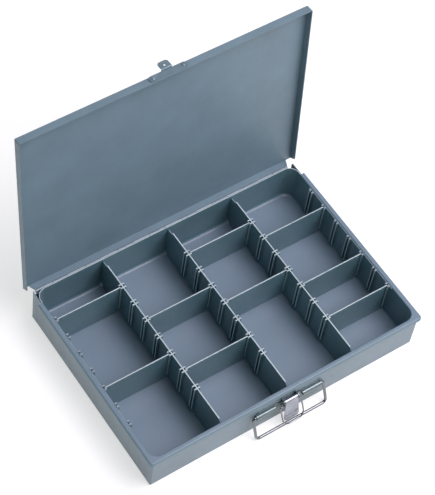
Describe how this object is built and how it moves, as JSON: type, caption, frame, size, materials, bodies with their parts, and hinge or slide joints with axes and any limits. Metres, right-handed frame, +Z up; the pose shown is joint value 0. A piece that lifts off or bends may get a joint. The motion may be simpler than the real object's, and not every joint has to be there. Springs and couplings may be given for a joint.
{
  "type": "compartment box",
  "caption": "Low painted steel case with a drawn tray, slotted lengthwise dividers, lift-out cross dividers, a hinged pan lid, a pull-down latch and a wire bail handle.",
  "frame": {"origin": "centre of the case's underside, on the surface it stands on", "axes": "+X to the right along the width, seen from the latch side; +Y from the latch to the hinge; +Z up"},
  "size_m": [0.34, 0.2885, 0.28],
  "materials": {
    "painted_steel": "grey-blue baked enamel, satin, slightly textured",
    "plated_steel": "bright zinc plate"
  },
  "bodies": {
    "case": {"casing": "painted_steel", "rear_wall": "painted_steel", "tray": "painted_steel", "long_divider_left": "painted_steel", "long_divider_middle": "painted_steel", "long_divider_right": "painted_steel", "slot_strip_left": "painted_steel", "slot_strip_right": "painted_steel", "hinge_leaf_case": "painted_steel", "hinge_pin": "plated_steel", "latch_base": "plated_steel", "latch_rivets": "plated_steel", "lever_pin": "plated_steel"},
    "lid": {"lid": "painted_steel", "hinge_leaf_lid": "painted_steel", "lid_catch": "plated_steel", "catch_rivets": "plated_steel"},
    "handle": {"handle": "plated_steel"},
    "lever": {"latch_lever": "plated_steel"},
    "loop": {"latch_loop": "plated_steel"},
    "divider_1_1": {"cross_divider_1_1": "painted_steel"},
    "divider_1_5": {"cross_divider_1_5": "painted_steel"},
    "divider_2_3": {"cross_divider_2_3": "painted_steel"},
    "divider_2_6": {"cross_divider_2_6": "painted_steel"},
    "divider_3_1": {"cross_divider_3_1": "painted_steel"},
    "divider_3_4": {"cross_divider_3_4": "painted_steel"},
    "divider_4_2": {"cross_divider_4_2": "painted_steel"},
    "divider_4_5": {"cross_divider_4_5": "painted_steel"},
    "divider_4_7": {"cross_divider_4_7": "painted_steel"}
  },
  "joints": [
    {"name": "lid_hinge", "type": "hinge", "parent": "case", "child": "lid", "pos_m": [0, 0.11745, 0.0413], "axis": [-1, 0, 0], "range_deg": [-95.1, 0]},
    {"name": "handle_swing", "type": "hinge", "parent": "case", "child": "handle", "pos_m": [0, -0.11725, 0.027], "axis": [-1, 0, 0], "range_deg": [0, 100]},
    {"name": "lever_swing", "type": "hinge", "parent": "case", "child": "lever", "pos_m": [0, -0.11985, 0.0336], "axis": [-1, 0, 0], "range_deg": [0, 150]},
    {"name": "loop_swing", "type": "hinge", "parent": "lever", "child": "loop", "pos_m": [0, -0.12082, 0.02768], "axis": [1, 0, 0], "range_deg": [-152, 0]},
    {"name": "divider_1_1_lift", "type": "slide", "parent": "case", "child": "divider_1_1", "axis": [0, 0, 1], "range_m": [0, 0.05]},
    {"name": "divider_1_5_lift", "type": "slide", "parent": "case", "child": "divider_1_5", "axis": [0, 0, 1], "range_m": [0, 0.05]},
    {"name": "divider_2_3_lift", "type": "slide", "parent": "case", "child": "divider_2_3", "axis": [0, 0, 1], "range_m": [0, 0.05]},
    {"name": "divider_2_6_lift", "type": "slide", "parent": "case", "child": "divider_2_6", "axis": [0, 0, 1], "range_m": [0, 0.05]},
    {"name": "divider_3_1_lift", "type": "slide", "parent": "case", "child": "divider_3_1", "axis": [0, 0, 1], "range_m": [0, 0.05]},
    {"name": "divider_3_4_lift", "type": "slide", "parent": "case", "child": "divider_3_4", "axis": [0, 0, 1], "range_m": [0, 0.05]},
    {"name": "divider_4_2_lift", "type": "slide", "parent": "case", "child": "divider_4_2", "axis": [0, 0, 1], "range_m": [0, 0.05]},
    {"name": "divider_4_5_lift", "type": "slide", "parent": "case", "child": "divider_4_5", "axis": [0, 0, 1], "range_m": [0, 0.05]},
    {"name": "divider_4_7_lift", "type": "slide", "parent": "case", "child": "divider_4_7", "axis": [0, 0, 1], "range_m": [0, 0.05]}
  ]
}
